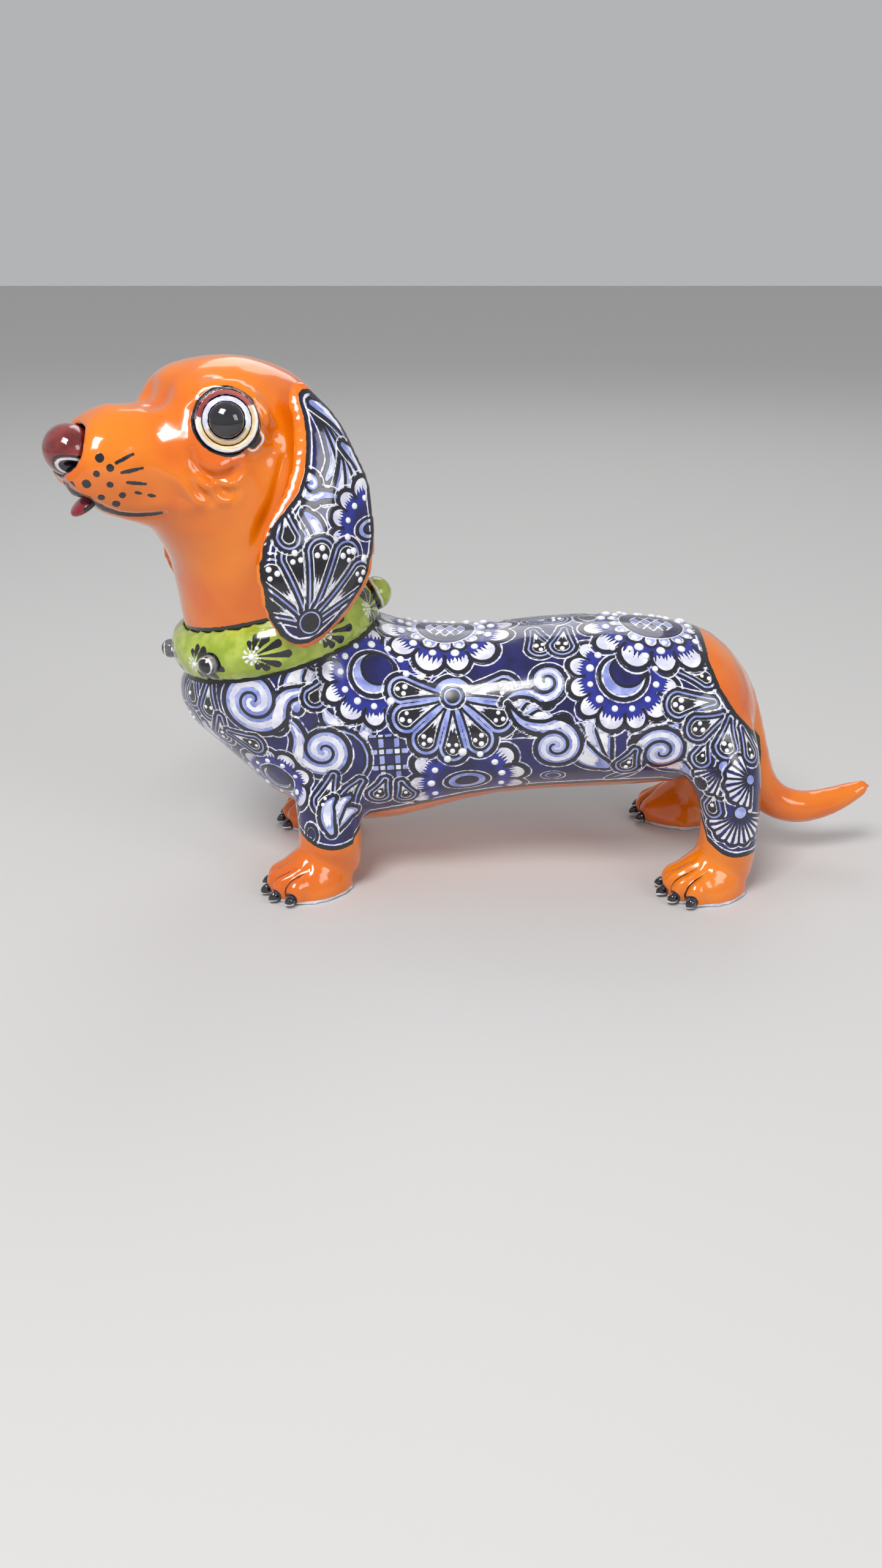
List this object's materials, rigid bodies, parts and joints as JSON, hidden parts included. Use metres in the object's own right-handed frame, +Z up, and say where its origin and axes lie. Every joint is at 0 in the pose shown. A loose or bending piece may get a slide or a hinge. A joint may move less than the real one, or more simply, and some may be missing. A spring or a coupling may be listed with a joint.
{
  "type": "ceramic dog figurine",
  "caption": "Standing short-legged hound figurine in glazed earthenware with a painted floral coat, long hanging ears, a studded collar and an upturned tail.",
  "frame": {"origin": "centre of the object's box in plan, on the plane that the four soles stand on", "axes": "-X is the way the dog's body faces, -Y is the dog's left side, +Z is up"},
  "size_m": [0.2657, 0.0895, 0.1705],
  "materials": {
    "orange_glaze": "gloss",
    "painted_coat": "gloss",
    "green_glaze": "gloss",
    "ink_glaze": "gloss",
    "eye_white": "gloss",
    "eyelid_glaze": "gloss",
    "nose_glaze": "gloss",
    "tongue_glaze": "gloss"
  },
  "bodies": {
    "root": {"torso": "painted_coat", "head": "orange_glaze", "ear_left": "painted_coat", "ear_right": "painted_coat", "eyeball_left": "eye_white", "eyeball_right": "eye_white", "pupil_left": "ink_glaze", "pupil_right": "ink_glaze", "eyelid_left": "eyelid_glaze", "eyelid_right": "eyelid_glaze", "nose": "nose_glaze", "tongue": "tongue_glaze", "collar": "green_glaze", "collar_studs": "ink_glaze", "collar_knot": "green_glaze", "leg_front_left": "orange_glaze", "leg_front_right": "orange_glaze", "leg_rear_left": "orange_glaze", "leg_rear_right": "orange_glaze", "claws_front_left": "ink_glaze", "claws_front_right": "ink_glaze", "claws_rear_left": "ink_glaze", "claws_rear_right": "ink_glaze", "tail": "orange_glaze"}
  },
  "joints": []
}
